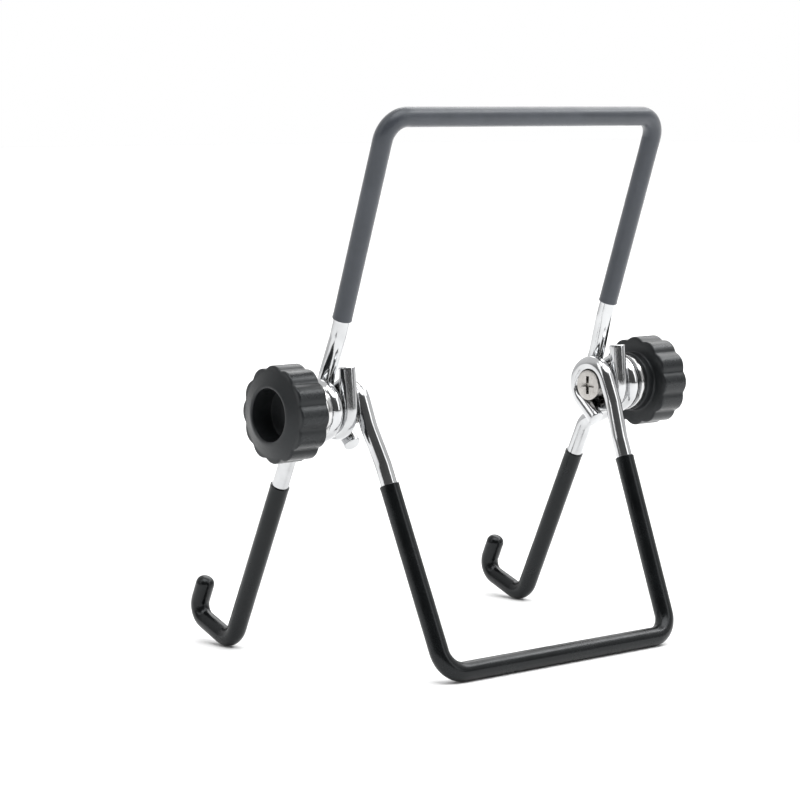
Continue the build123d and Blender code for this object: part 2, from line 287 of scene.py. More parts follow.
hook_tip = along(hook_toe, HOOK_LEG_ANGLE, HOOK_TIP_LENGTH)


def at(x, side_point):
    """Point in millimetres, with the bolt axis through y = z = 0."""
    return Vector((x, side_point[0], side_point[1]))


# ------------------------------------------------------------------ wire routes
def rounded(points, radii):
    """The polyline through the points, with an arc of each radius at its corners."""
    route = [points[0]]
    for before, corner, after, radius in zip(points, points[1:], points[2:], radii):
        back = (before - corner).normalized()
        on = (after - corner).normalized()
        half = back.angle(on) / 2
        centre = corner + (back + on).normalized() * (radius / math.sin(half))
        start = corner + back * (radius / math.tan(half))
        arm = start - centre
        turn = math.pi - 2 * half
        hinge = back.cross(on).normalized()
        steps = max(4, math.ceil(radius * turn / PATH_STEP))
        for step in range(steps + 1):
            route.append(centre + Matrix.Rotation(-turn * step / steps, 3, hinge) @ arm)
    return route + [points[-1]]


def eye(x, start, end):
    """Arc of a wire's eye around the bolt."""
    steps = math.ceil(EYE_R * math.radians(abs(end - start)) / PATH_STEP)
    angles = np.linspace(start, end, steps + 1)
    return [at(x, along((0, 0), angle, EYE_R)) for angle in angles]


def both_halves(half):
    """A whole frame's route from its +X half, which starts in the middle."""
    other = [Vector((-p.x, p.y, p.z)) for p in reversed(half)]
    return other + half[1:]


def upper_wire_route():
    jog_end = along(upper_tangent, UPPER_ARM_ANGLE, UPPER_JOG_END)
    jog_start = along(upper_tangent, UPPER_ARM_ANGLE, UPPER_JOG_START)
    corners = [
        at(0, upper_top),
        at(UPPER_ARM_X, upper_top),
        at(UPPER_ARM_X, jog_end),
        at(UPPER_EYE_X, jog_start),
        at(UPPER_EYE_X, upper_tangent),
    ]
    tail_angle = 360 + UPPER_TAIL_LEAN
    tail_start = along((0, 0), tail_angle, EYE_R)
    tail_end = along(tail_start, tail_angle + 90, UPPER_TAIL_LENGTH)
    loop = eye(UPPER_EYE_X, UPPER_ARM_ANGLE + 90, tail_angle)
    arm = rounded(corners, [CORNER_R, JOG_R, JOG_R])
    return both_halves(arm[:-1] + loop + [at(UPPER_EYE_X, tail_end)])


def upper_sleeve_route():
    end = at(UPPER_ARM_X, upper_sleeve_end)
    corners = [at(0, upper_top), at(UPPER_ARM_X, upper_top), end]
    return both_halves(rounded(corners, [CORNER_R]))


def rear_arm_x(distance):
    whole = math.dist(rear_tangent, rear_foot)
    share = (distance - REAR_JOG_END) / (whole - REAR_JOG_END)
    return REAR_ARM_X + (REAR_FOOT_X - REAR_ARM_X) * share


def rear_wire_route():
    jog_end = along(rear_tangent, REAR_ARM_ANGLE, REAR_JOG_END)
    jog_start = along(rear_tangent, REAR_ARM_ANGLE, REAR_JOG_START)
    corners = [
        at(0, rear_foot),
        at(REAR_FOOT_X, rear_foot),
        at(REAR_ARM_X, jog_end),
        at(REAR_EYE_X, jog_start),
        at(REAR_EYE_X, rear_tangent),
    ]
    tail_angle = 180 + REAR_TAIL_TURN
    tail_start = along((0, 0), tail_angle, EYE_R)
    tail_end = along(tail_start, tail_angle + 90, REAR_TAIL_LENGTH)
    loop = eye(REAR_EYE_X, REAR_ARM_ANGLE + 90, tail_angle)
    arm = rounded(corners, [CORNER_R, JOG_R, JOG_R])
    return both_halves(arm[:-1] + loop + [at(REAR_EYE_X, tail_end)])


def rear_sleeve_route():
    end_x = rear_arm_x(math.dist(rear_tangent, rear_sleeve_end))
    corners = [at(0, rear_foot), at(REAR_FOOT_X, rear_foot), at(end_x, rear_sleeve_end)]
    return both_halves(rounded(corners, [CORNER_R]))


def hook_wire_route():
    sides = [hook_tip, hook_toe, hook_heel, hook_elbow, hook_run_start]
    corners = [at(HOOK_EYE_X, side) for side in sides]
    leg = rounded(corners, [HOOK_TIP_R, HOOK_HEEL_R, HOOK_ELBOW_R])
    return leg[:-1] + eye(HOOK_EYE_X, HOOK_RUN_RISE - 90, HOOK_EYE_END)


def hook_sleeve_route():
    cap_end = along(hook_tip, HOOK_LEG_ANGLE, CAP_BEYOND_WIRE)
    sides = [cap_end, hook_toe, hook_heel, hook_sleeve_end]
    corners = [at(HOOK_EYE_X, side) for side in sides]
    return rounded(corners, [HOOK_TIP_R, HOOK_HEEL_R])


# ----------------------------------------------------------- meshes along a route
SKEW = 1.0, 0.31, 0.17        # a direction that no wire starts in


class Track:
    """A route with its length, direction, bending and an untwisted frame."""

    def __init__(self, route, rounds):
        points = np.array([tuple(p) for p in route])
        gaps = np.linalg.norm(np.diff(points, axis=0), axis=1)
        points = points[np.insert(gaps > SAME_POINT, 0, True)]
        gaps = np.linalg.norm(np.diff(points, axis=0), axis=1)
        reach = np.insert(np.cumsum(gaps), 0, 0)
        self.length = reach[-1]
        self.stations = self.spread(reach, rounds)
        self.points = self.between(points, reach, self.stations)
        ahead = self.between(points, reach, self.stations + PATH_STEP / 4)
        behind = self.between(points, reach, self.stations - PATH_STEP / 4)
        self.tangents = self.unit(ahead - behind)
        far = self.between(points, reach, self.stations + PATH_STEP)
        near = self.between(points, reach, self.stations - PATH_STEP)
        turning = self.unit(far - self.points) - self.unit(self.points - near)
        self.bends = turning / PATH_STEP
        self.bends[[0, -1]] = 0
        self.normals = self.carried()
        self.sideways = np.cross(self.tangents, self.normals)

    @staticmethod
    def unit(vectors):
        sizes = np.linalg.norm(vectors, axis=1, keepdims=True)
        return vectors / np.maximum(sizes, 1e-9)

    @staticmethod
    def between(points, reach, stations):
        columns = [np.interp(stations, reach, points[:, axis]) for axis in range(3)]
        return np.stack(columns, axis=1)

    def spread(self, reach, rounds):
        """Stations: close together in bends and over the rounded ends."""
        rows = [0.0]
        arcs = np.diff(reach) < PATH_STEP * 1.5
        while rows[-1] < self.length:
            span = min(np.searchsorted(reach, rows[-1] + SAME_POINT), len(arcs)) - 1
            ahead = min(np.searchsorted(reach, rows[-1] + BEND_STEP), len(arcs)) - 1
            in_bend = arcs[span] or arcs[ahead]
            rows.append(rows[-1] + (BEND_STEP if in_bend else RUN_STEP))
        inner = [row for row in rows if rounds[0] < row < self.length - rounds[1]]
        lips = np.linspace(0, math.pi / 2, END_RINGS)
        start = [rounds[0] * (1 - math.cos(angle)) for angle in lips]
        end = [self.length - rounds[1] * (1 - math.cos(angle)) for angle in lips]
        steps = [LIP_LENGTH * (ring + 1) / LIP_RINGS for ring in range(LIP_RINGS)]
        first_lip = [rounds[0] + step for step in steps]
        last_lip = [self.length - (rounds[1] + step) for step in steps]
        return np.array(sorted(set(start + first_lip + inner + last_lip + end)))

    def carried(self):
        """A normal at each station, carried along the route without twist."""
        first = np.cross(self.tangents[0], SKEW)
        normals = [first / np.linalg.norm(first)]
        for tangent in self.tangents[1:]:
            normal = normals[-1] - tangent * np.dot(normals[-1], tangent)
            normals.append(normal / np.linalg.norm(normal))
        return np.array(normals)

    def skin(self, radius_at):
        """Rings of points around the route and their straightened coordinates."""
        turns = np.linspace(0, 2 * math.pi, RING_SIDES, endpoint=False)
        outward = (
            self.normals[:, None] * np.cos(turns)[None, :, None]
            + self.sideways[:, None] * np.sin(turns)[None, :, None]
        )
        inside = np.einsum("ijk,ik->ij", outward, self.bends)
        radii = radius_at(self.stations[:, None], turns[None, :], inside, self.length)
        rings = self.points[:, None] + outward * radii[:, :, None]
        lengths = np.broadcast_to(self.stations[:, None], radii.shape)
        grain = np.stack((radii * np.cos(turns), radii * np.sin(turns), lengths), axis=2)
        return rings, grain


def rounding(distance, size):
    """How far a rounded end falls in at a distance from the end's face."""
    short = np.clip(size - distance, 0, size)
    return size - np.sqrt(np.maximum(size * size - short * short, 0))


def wire_radius(stations, turns, inside, length):
    near_end = np.minimum(stations, length - stations)
    return WIRE_R - rounding(near_end, CUT_ROUND) + 0 * turns


def sleeve_radius(rounds):
    """Outer radius of a sleeve whose ends are rounded by the two given sizes."""

    def radius(stations, turns, inside, length):
        long, drift, short = WAVER_WAVES
        waver = np.sin(stations * long + WAVER_DRIFT * np.sin(stations * drift))
        waver = waver + np.sin(stations * short + 2 * turns) * 0.5
        ripple = 1 + np.cos(stations * 2 * math.pi / WRINKLE_PITCH)
        folds = np.clip(inside * WRINKLE_ONSET, 0, 1) * ripple
        size = SLEEVE_R - WAVER * (1 + waver / 1.5) / 2 - WRINKLE * folds / 2
        for distance, end in ((stations, rounds[0]), (length - stations, rounds[1])):
            if end == SLEEVE_LIP:
                swell = np.exp(-((distance / LIP_LENGTH) ** 2) * LIP_FADE)
                size = size + LIP_SWELL * swell
            size = size - rounding(distance, end)
        return size

    return radius


def sleeve_bore(stations, turns, inside, length):
    return SLEEVE_INNER_R + 0 * turns + 0 * stations


def ring_faces(rows, sides, start=0):
    """Quads between successive rings of a tube."""
    faces = []
    for row in range(rows - 1):
        for side in range(sides):
            a = start + row * sides + side
            b = start + row * sides + (side + 1) % sides
            faces.append((a, b, b + sides, a + sides))
    return faces


def solid_tube(route, rounds, radius_at):
    """A closed round rod along a route."""
    track = Track(route, rounds)
    rings, grain = track.skin(radius_at)
    rows = len(rings)
    verts = list(rings.reshape(-1, 3)) + [track.points[0], track.points[-1]]
    coords = list(grain.reshape(-1, 3)) + [(0, 0, 0), (0, 0, track.length)]
    faces = ring_faces(rows, RING_SIDES)
    first, last = rows * RING_SIDES, (rows - 1) * RING_SIDES
    for side in range(RING_SIDES):
        after = (side + 1) % RING_SIDES
        faces.append((first, after, side))
        faces.append((first + 1, last + side, last + after))
    return verts, faces, coords


def hollow_tube(route, rounds, radius_at):
    """A sleeve: outer skin and bore, joined at both cut ends."""
    track = Track(route, rounds)
    outer, outer_grain = track.skin(radius_at)
    bore, bore_grain = track.skin(sleeve_bore)
    rows = len(outer)
    inner = rows * RING_SIDES
    verts = list(outer.reshape(-1, 3)) + list(bore.reshape(-1, 3))
    coords = list(outer_grain.reshape(-1, 3)) + list(bore_grain.reshape(-1, 3))
    faces = ring_faces(rows, RING_SIDES)
    faces += [tuple(reversed(face)) for face in ring_faces(rows, RING_SIDES, inner)]
    last = (rows - 1) * RING_SIDES
    for side in range(RING_SIDES):
        after = (side + 1) % RING_SIDES
        faces.append((side, inner + side, inner + after, after))
        far_side, far_after = inner + last + side, inner + last + after
        faces.append((last + after, far_after, far_side, last + side))
    return verts, faces, coords


def capped_sleeve(route, rounds, radius_at):
    """A hook's sleeve: closed over the tip, open at the top of the leg."""
    track = Track(route, rounds)
    outer, outer_grain = track.skin(radius_at)
    bore, bore_grain = track.skin(sleeve_bore)
    keep = track.stations > CAP_BEYOND_WIRE + CAP_FLOOR_MARGIN
    bore, bore_grain = bore[keep], bore_grain[keep]
    floor_centre = bore[0].mean(axis=0)
    rows, bore_rows = len(outer), len(bore)
    inner = rows * RING_SIDES
    end = inner + bore_rows * RING_SIDES
    verts = list(outer.reshape(-1, 3)) + list(bore.reshape(-1, 3))
    verts += [track.points[0], floor_centre]
    coords = list(outer_grain.reshape(-1, 3)) + list(bore_grain.reshape(-1, 3))
    coords += [(0, 0, 0), (0, 0, 0)]
    faces = ring_faces(rows, RING_SIDES)
    faces += [tuple(reversed(face)) for face in ring_faces(bore_rows, RING_SIDES, inner)]
    last, bore_last = (rows - 1) * RING_SIDES, inner + (bore_rows - 1) * RING_SIDES
    for side in range(RING_SIDES):
        after = (side + 1) % RING_SIDES
        faces.append((end, after, side))
        faces.append((end + 1, inner + side, inner + after))
        faces.append((last + after, bore_last + after, bore_last + side, last + side))
    return verts, faces, coords


# --------------------------------------------------------------- turned meshes
def turned(profile, sides=TURN_SIDES, shape=None):
    """Closed solid of rings along +X. A profile row is (x, radius), and shape
    gives a ring's radius at each angle. The first and last rows are closed to a
    centre point, unless they are one and the same, as a washer's are."""
    turns = np.linspace(0, 2 * math.pi, sides, endpoint=False)
    verts = []
    for row, (x, radius) in enumerate(profile):
        radii = np.full(sides, radius) if shape is None else shape(row, x, radius, turns)
        for turn, size in zip(turns, radii):
            verts.append((x, size * math.cos(turn), size * math.sin(turn)))
    faces = ring_faces(len(profile), sides)
    last = (len(profile) - 1) * sides
    if profile[0] == profile[-1]:
        verts = verts[:last]
        faces = [tuple(v % last for v in face) for face in faces]
        return verts, faces
    verts += [(profile[0][0], 0, 0), (profile[-1][0], 0, 0)]
    first_centre = len(verts) - 2
    for side in range(sides):
        after = (side + 1) % sides
        faces.append((first_centre, after, side))
        faces.append((first_centre + 1, last + side, last + after))
    return verts, faces


def corner_rows(x, radius, size, start, end, steps=5):
    """Rows of a rounded edge: a quarter circle about (x, radius)."""
    angles = np.radians(np.linspace(start, end, steps))
    return [(x + size * math.cos(a), radius + size * math.sin(a)) for a in angles]


def bolt_profile():
    """Countersunk head and the plain part of the shank, from the face out."""
    seat_x = HEAD_FACE_X + HEAD_RIM
    neck_x = seat_x + HEAD_CONE_LENGTH
    face_r = HEAD_R - HEAD_ROUND
    rows = []
    for share in HEAD_FACE_SHARES:
        rows.append((HEAD_FACE_X + HEAD_DOME * share**2, face_r * share))
    edge_x = HEAD_FACE_X + HEAD_DOME + HEAD_ROUND
    rows += corner_rows(edge_x, face_r, HEAD_ROUND, 180, 90, 6)
    rows += [(seat_x - HEAD_SEAT_BREAK, HEAD_R), (seat_x, HEAD_R - HEAD_SEAT_BREAK)]
    rows += [(seat_x, HEAD_CONE_R), (neck_x, SHANK_R)]
    stations = np.linspace(neck_x + NECK_RUN, THREAD_START_X, SHANK_RINGS)
    return rows + [(x, SHANK_R) for x in stations]


def thread_rows():
    length = BOLT_END_X - THREAD_START_X
    count = round(length / THREAD_STEP)
    return [(THREAD_START_X + length * k / count, BOLT_R) for k in range(1, count + 1)]


def bolt_shape(side):
    """Cuts a right-hand thread into the far end of the shank."""

    def radii(row, x, radius, turns):
        if x <= THREAD_START_X:
            return np.full(len(turns), radius)
        phase = (x / THREAD_PITCH - side * turns / (2 * math.pi)) % 1
        groove = np.clip(np.abs(phase - 0.5) * THREAD_FLANK - THREAD_CREST, 0, 1)
        run_in = min((x - THREAD_START_X) / THREAD_PITCH, 1)
        threaded = SHANK_R - THREAD_DEPTH * groove * run_in
        bevel = BOLT_R - BOLT_BEVEL + (BOLT_END_X - x) * BOLT_BEVEL_SLOPE
        return np.minimum(threaded, bevel)

    return radii


def cross_cutter():
    """Tapered cross, to be cut from the bolt's head."""
    verts, faces = [], []
    box = [(0, 3, 2, 1), (4, 5, 6, 7)]
    box += [(k, (k + 1) % 4, (k + 1) % 4 + 4, k + 4) for k in range(4)]
    levels = (-CROSS_ABOVE * CROSS_DEPTH, CROSS_MOUTH), (CROSS_DEPTH, CROSS_TAPER)
    for level_bar in (True, False):
        base = len(verts)
        for depth, taper in levels:
            reach, half = CROSS_REACH * taper, CROSS_HALF * (1 + taper) / 2
            y, z = (reach, half) if level_bar else (half, reach)
            for sy, sz in ((-1, -1), (1, -1), (1, 1), (-1, 1)):
                verts.append((HEAD_FACE_X + depth, sy * y, sz * z))
        faces += [tuple(base + corner for corner in face) for face in box]
    return verts, faces


def washer_profile():
    """Stamped ring: rolled over on one side, with a sharper edge on the other."""
    bore, inner, outer = WASHER_BORE_R, WASHER_X, WASHER_END_X
    edge, roll, lead = WASHER_EDGE, WASHER_ROLL, WASHER_BORE_ROUND
    rows = [(inner + edge, bore), (inner, bore + edge), (inner, WASHER_R - edge)]
    rows += corner_rows(inner + edge, WASHER_R - edge, edge, 180, 90, 4)[1:]
    rows += corner_rows(outer - roll, WASHER_R - roll, roll, 90, 0, 7)
    rows += [(outer - WASHER_DISH, WASHER_R - WASHER_DISH_RUN)]
    rows += [(outer, bore + WASHER_FLAT_RUN), (outer, bore + lead)]
    rows += corner_rows(outer - lead, bore + lead, lead, 0, -90, 5)[1:]
    return rows + [rows[0]]


def plain(radius, turns):
    return np.full(len(turns), radius)


def lobed(radius, turns):
    """The grip's outline: broad lobes, with softened valleys between them."""
    sector = 2 * math.pi / KNOB_LOBES
    swing = (turns + sector / 2) % sector - sector / 2
    centre = KNOB_R - KNOB_LOBE_R

    def reach(angle):
        chord = KNOB_LOBE_R**2 - (centre * np.sin(angle)) ** 2
        return centre * np.cos(angle) + np.sqrt(np.maximum(chord, 0))

    near = reach(swing) / KNOB_VALLEY_SOFT
    beside = reach(sector - np.abs(swing)) / KNOB_VALLEY_SOFT
    return np.logaddexp(near, beside) * KNOB_VALLEY_SOFT * radius / KNOB_R


def half_lobed(radius, turns):
    return (plain(radius, turns) + lobed(radius, turns)) / 2


def pocket(radius, turns):
    """Outline of the nut's pocket."""
    return nut_radius(turns) + POCKET_GAP


def knob_rows():
    """Rows (x, radius, outline): the nut's pocket, the outside, the recess."""
    pocket_x = NUT_X - POCKET_GAP
    lead, lip, neck = KNOB_BORE_ROUND, KNOB_BOSS_ROUND, KNOB_NECK_ROUND
    rows = [(NUT_END_X + POCKET_GAP, NUT_FLATS, pocket), (pocket_x, NUT_FLATS, pocket)]
    rounds = [(pocket_x, KNOB_BORE_R)]
    rounds += corner_rows(BOSS_X + lead, KNOB_BORE_R + lead, lead, 270, 180, 4)
    rounds += corner_rows(BOSS_X + lip, KNOB_BOSS_R - lip, lip, 180, 90, 6)
    rounds += corner_rows(KNOB_BODY_X - neck, KNOB_BOSS_R + neck, neck, -90, 0, 5)
    rows += [(x, r, plain) for x, r in rounds]
    rows += [(KNOB_BODY_X, KNOB_BACK_R[0], plain)]
    rows += [(KNOB_BODY_X, KNOB_BACK_R[1], half_lobed)]
    grip_r = KNOB_R - KNOB_ROUND
    sides = corner_rows(KNOB_BODY_X + KNOB_ROUND, grip_r, KNOB_ROUND, 180, 90, 8)
    first_x, last_x = KNOB_BODY_X + KNOB_SIDE_INSET, KNOB_CROWN_X - KNOB_SIDE_INSET
    sides += [(x, KNOB_R) for x in np.linspace(first_x, last_x, KNOB_SIDE_RINGS)]
    sides += corner_rows(KNOB_CROWN_X - KNOB_ROUND, grip_r, KNOB_ROUND, 90, 0, 8)
    rows += [(x, r, lobed) for x, r in sides]
    rows += [(KNOB_CROWN_X + KNOB_SHOULDER_RISE, KNOB_SHOULDER_R, half_lobed)]
    rise = KNOB_FACE_X - KNOB_CROWN_X
    for share in np.linspace(KNOB_CROWN_START, 1, KNOB_CROWN_RINGS):
        radius = KNOB_CROWN_R + (KNOB_CROWN_TOP_R - KNOB_CROWN_R) * share
        rows.append((KNOB_CROWN_X + rise * share, radius, plain))
    mouth = KNOB_MOUTH_ROUND
    rounds = corner_rows(KNOB_FACE_X - mouth, KNOB_RECESS_R + mouth, mouth, 0, -90, 6)
    for share in KNOB_WALL_SHARES:
        wall_x = KNOB_FACE_X + (RECESS_X - KNOB_FACE_X) * share
        rounds.append((wall_x, KNOB_RECESS_R - KNOB_RECESS_DRAFT * share))
    rounds += [(RECESS_X + height, radius) for height, radius in RECESS_FLOOR]
    return rows + [(x, r, plain) for x, r in rounds]


def knob_mesh():
    """The moulded knob: closed over the nut, with a blind recess in its face."""
    rows = knob_rows()

    def outline(row, x, radius, turns):
        return rows[row][2](radius, turns)

    return turned([row[:2] for row in rows], KNOB_SIDES, outline)


def nut_radius(turns):
    """Distance from the axis to a hexagon's side, flats towards +Z and -Z."""
    sector = math.pi / 3
    swing = (turns - math.pi / 2 + sector / 2) % sector - sector / 2
    return NUT_FLATS / 2 / np.cos(swing)


def nut_mesh():
    """Hexagon nut whose corners are turned off on the outer face."""
    turns = np.linspace(0, 2 * math.pi, NUT_SIDES, endpoint=False)
    hexagon = nut_radius(turns)
    inner, outer, bore = NUT_X, NUT_END_X, NUT_BORE_R
    levels = [inner, inner + NUT_INNER_RING]
    levels += list(np.linspace(outer - NUT_CHAMFER_LENGTH, outer, 9))
    rings = []
    for x in levels:
        cone = NUT_FLATS / 2 - NUT_CHAMFER + (outer - x) * NUT_CHAMFER_SLOPE
        rings.append((x, np.minimum(hexagon, cone)))
    widening, depth = NUT_OUTER_LEAD
    lead = NUT_INNER_LEAD
    bore_rings = (outer, bore + widening), (outer - depth, bore)
    bore_rings += (inner + lead, bore), (inner, bore + lead)
    rings += [(x, np.full(NUT_SIDES, radius)) for x, radius in bore_rings]
    verts = []
    for x, radii in rings:
        verts += [(x, r * math.cos(t), r * math.sin(t)) for r, t in zip(radii, turns)]
    faces = ring_faces(len(rings), NUT_SIDES)
    last = (len(rings) - 1) * NUT_SIDES
    for side in range(NUT_SIDES):
        after = (side + 1) % NUT_SIDES
        faces.append((last + side, last + after, after, side))
    return verts, faces


# ------------------------------------------------------------- from lists to pieces
def mirrored(verts, faces):
    """The same shape at the -X side."""
    flipped = [(-v[0], v[1], v[2]) for v in verts]
    return flipped, [tuple(reversed(face)) for face in faces]


def mesh_object(name, verts, faces):
    """Object from millimetres about the bolt axis, placed in the frame."""
    placed = [(v[0] * MM, (v[1] + AXIS_Y) * MM, (v[2] + AXIS_Z) * MM) for v in verts]
    mesh = bpy.data.meshes.new(name)
    mesh.from_pydata(placed, [], faces)
    mesh.validate()
    obj = bpy.data.objects.new(name, mesh)
    bpy.context.scene.collection.objects.link(obj)
    return obj


def cut(obj, cutter):
    """Takes the cutter's shape out of obj."""
    knife = obj.modifiers.new("cut", "BOOLEAN")
    knife.object = cutter
    knife.solver = "EXACT"
    knife.use_self = True
    seen = obj.evaluated_get(bpy.context.evaluated_depsgraph_get())
    mesh = bpy.data.meshes.new_from_object(seen)
    obj.modifiers.remove(knife)
    obj.data = mesh
    bpy.data.objects.remove(cutter)


def set_grain(obj, coords=None):
    """Stores the coordinates, in millimetres, that the materials are drawn on."""
    mesh = obj.data
    if coords is None:
        middle_point = sum((v.co for v in mesh.vertices), Vector()) / len(mesh.vertices)
        offset = Vector((middle_point.x, AXIS_Y * MM, AXIS_Z * MM))
        coords = [(v.co - offset) / MM for v in mesh.vertices]
    grain = mesh.attributes.new("grain", "FLOAT_VECTOR", "POINT")
    grain.data.foreach_set("vector", np.array(coords, dtype=float).ravel())


def finish_piece(obj, material, body, node, crease=HARD_CREASE):
    mesh = obj.data
    mesh.materials.clear()
    mesh.materials.append(material)
    mesh.polygons.foreach_set("use_smooth", [True] * len(mesh.polygons))
    mesh.set_sharp_from_angle(angle=math.radians(crease))
    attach(obj, body)
    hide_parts(node)
    return obj


# -------------------------------------------------------------------- materials
COOL = (0.93, 0.97, 1.0)      # tint of the highlights on vinyl and plastic
WIRE_BRIGHT = (0.55, 0.557, 0.565)
WIRE_DULL = (0.45, 0.455, 0.462)
PLASTIC_DARK = (0.0095, 0.0104, 0.0112)
PLASTIC_WORN = (0.0175, 0.0188, 0.02)
CLOUDED = 0.09                # how much rougher a surface is where it is duller
BUMP_FINE = 0.00006           # bump heights in metres
BUMP_LIGHT = 0.00008
BUMP_LINES = 0.0001
BUMP_GRAIN = 0.00012


class Shader:
    """Short calls for a node tree around one Principled shader."""

    def __init__(self, name):
        self.material = bpy.data.materials.new(name)
        self.material.use_nodes = True
        self.nodes = self.material.node_tree.nodes
        self.links = self.material.node_tree.links
        self.surface = next(n for n in self.nodes if n.type == "BSDF_PRINCIPLED")
        grain = self.nodes.new("ShaderNodeAttribute")
        grain.attribute_name = "grain"
        self.grain = grain.outputs["Vector"]

    def stretched(self, scale, source=None):
        mapping = self.nodes.new("ShaderNodeMapping")
        mapping.inputs["Scale"].default_value = scale
        self.links.new(source or self.grain, mapping.inputs["Vector"])
        return mapping.outputs["Vector"]

    def noise(self, scale, detail=2.0, rough=0.5, vector=None):
        node = self.nodes.new("ShaderNodeTexNoise")
        node.inputs["Scale"].default_value = scale
        node.inputs["Detail"].default_value = detail
        node.inputs["Roughness"].default_value = rough
        self.links.new(vector or self.grain, node.inputs["Vector"])
        return node.outputs["Fac"]

    def ramp(self, value, low_in, high_in, low_out, high_out):
        node = self.nodes.new("ShaderNodeMapRange")
        node.inputs["From Min"].default_value = low_in
        node.inputs["From Max"].default_value = high_in
        node.inputs["To Min"].default_value = low_out
        node.inputs["To Max"].default_value = high_out
        self.links.new(value, node.inputs["Value"])
        return node.outputs["Result"]

    def math(self, operation, a, b):
        node = self.nodes.new("ShaderNodeMath")
        node.operation = operation
        for socket, value in zip(node.inputs, (a, b)):
            if isinstance(value, (int, float)):
                socket.default_value = value
            else:
                self.links.new(value, socket)
        return node.outputs["Value"]

    def colours(self, value, first, second):
        node = self.nodes.new("ShaderNodeMix")
        node.data_type = "RGBA"
        node.inputs["A"].default_value = (*first, 1)
        node.inputs["B"].default_value = (*second, 1)
        self.links.new(value, node.inputs["Factor"])
        return next(s for s in node.outputs if s.type == "RGBA")

    def bump(self, height, strength, distance, before=None):
        node = self.nodes.new("ShaderNodeBump")
        node.inputs["Strength"].default_value = strength
        node.inputs["Distance"].default_value = distance
        self.links.new(height, node.inputs["Height"])
        if before is not None:
            self.links.new(before, node.inputs["Normal"])
        return node.outputs["Normal"]

    def radius(self):
        """Distance from the bolt axis, for concentric tool marks."""
        parts = self.nodes.new("ShaderNodeSeparateXYZ")
        self.links.new(self.grain, parts.inputs["Vector"])
        square_y = self.math("POWER", parts.outputs["Y"], 2)
        square_z = self.math("POWER", parts.outputs["Z"], 2)
        return self.math("SQRT", self.math("ADD", square_y, square_z), 0)

    def rings(self, pitch):
        """Noise that runs round the axis."""
        joined = self.nodes.new("ShaderNodeCombineXYZ")
        self.links.new(self.radius(), joined.inputs["X"])
        return self.noise(1 / pitch, 3, 0.6, joined.outputs["Vector"])

    def join(self, value, name):
        self.links.new(value, self.surface.inputs[name])


def plated_wire():
    """Bright nickel on drawn wire: faint draw lines, a few rubs and dull spots."""
    s = Shader("plated_wire")
    lines = s.noise(3.2, 4, 0.6, s.stretched((1, 1, 0.02)))
    cloud = s.noise(0.16, 3, 0.55)
    spots = s.noise(2.6, 5, 0.7)
    s.surface.inputs["Metallic"].default_value = 1
    clouded = s.ramp(cloud, 0.35, 0.7, 0, 1)
    s.join(s.colours(clouded, WIRE_BRIGHT, WIRE_DULL), "Base Color")
    polish = s.ramp(cloud, 0.3, 0.7, 0.055, 0.12)
    rubs = s.ramp(spots, 0.6, 0.8, 0, 0.16)
    draw_marks = s.ramp(lines, 0.4, 0.8, 0, 0.05)
    s.join(s.math("ADD", s.math("ADD", polish, rubs), draw_marks), "Roughness")
    drawn = s.bump(lines, 0.16, BUMP_LIGHT)
    s.join(s.bump(spots, 0.05, BUMP_FINE, drawn), "Normal")
    return s.material


def soft_vinyl(name, dark, light, sheen, shine, polish):
    """Satin extruded sleeve: soft orange peel, faint lengthwise lines and dust."""
    s = Shader(name)
    s.surface.inputs["Specular IOR Level"].default_value = shine
    s.surface.inputs["Specular Tint"].default_value = (*COOL, 1)
    s.surface.inputs["Sheen Weight"].default_value = sheen
    s.surface.inputs["Sheen Roughness"].default_value = 0.4
    peel = s.noise(2.4, 3, 0.55)
    lines = s.noise(2.0, 3, 0.5, s.stretched((1.6, 1.6, 0.03)))
    dust = s.noise(7.0, 2, 0.6)
    cloud = s.noise(0.12, 3, 0.6)
    specks = s.ramp(dust, 0.72, 0.8, 0, 0.5)
    tone = s.math("ADD", s.ramp(cloud, 0.3, 0.7, 0, 0.8), specks)
    s.join(s.colours(tone, dark, light), "Base Color")
    gloss = s.ramp(cloud, 0.3, 0.7, polish, polish + CLOUDED)
    s.join(s.math("ADD", gloss, s.ramp(peel, 0.3, 0.7, 0, 0.06)), "Roughness")
    skin = s.bump(peel, 0.12, BUMP_GRAIN)
    s.join(s.bump(lines, 0.10, BUMP_LINES, skin), "Normal")
    return s.material


def moulded_plastic():
    """Black moulded plastic with a fine spark-eroded grain and rubbed ridges."""
    s = Shader("moulded_plastic")
    s.surface.inputs["Specular IOR Level"].default_value = 0.3
    s.surface.inputs["Specular Tint"].default_value = (*COOL, 1)
    grain = s.noise(5.5, 4, 0.65)
    cloud = s.noise(0.25, 3, 0.6)
    rub = s.ramp(s.radius(), KNOB_R - 0.5, KNOB_R, 0, 0.7)
    specks = s.ramp(grain, 0.62, 0.75, 0, 0.3)
    tone = s.math("ADD", s.math("MULTIPLY", rub, cloud), specks)
    s.join(s.colours(tone, PLASTIC_DARK, PLASTIC_WORN), "Base Color")
    worn = s.math("MULTIPLY", rub, 0.1)
    s.join(s.math("SUBTRACT", s.ramp(cloud, 0.3, 0.7, 0.29, 0.38), worn), "Roughness")
    s.join(s.bump(grain, 0.2, BUMP_GRAIN), "Normal")
    return s.material


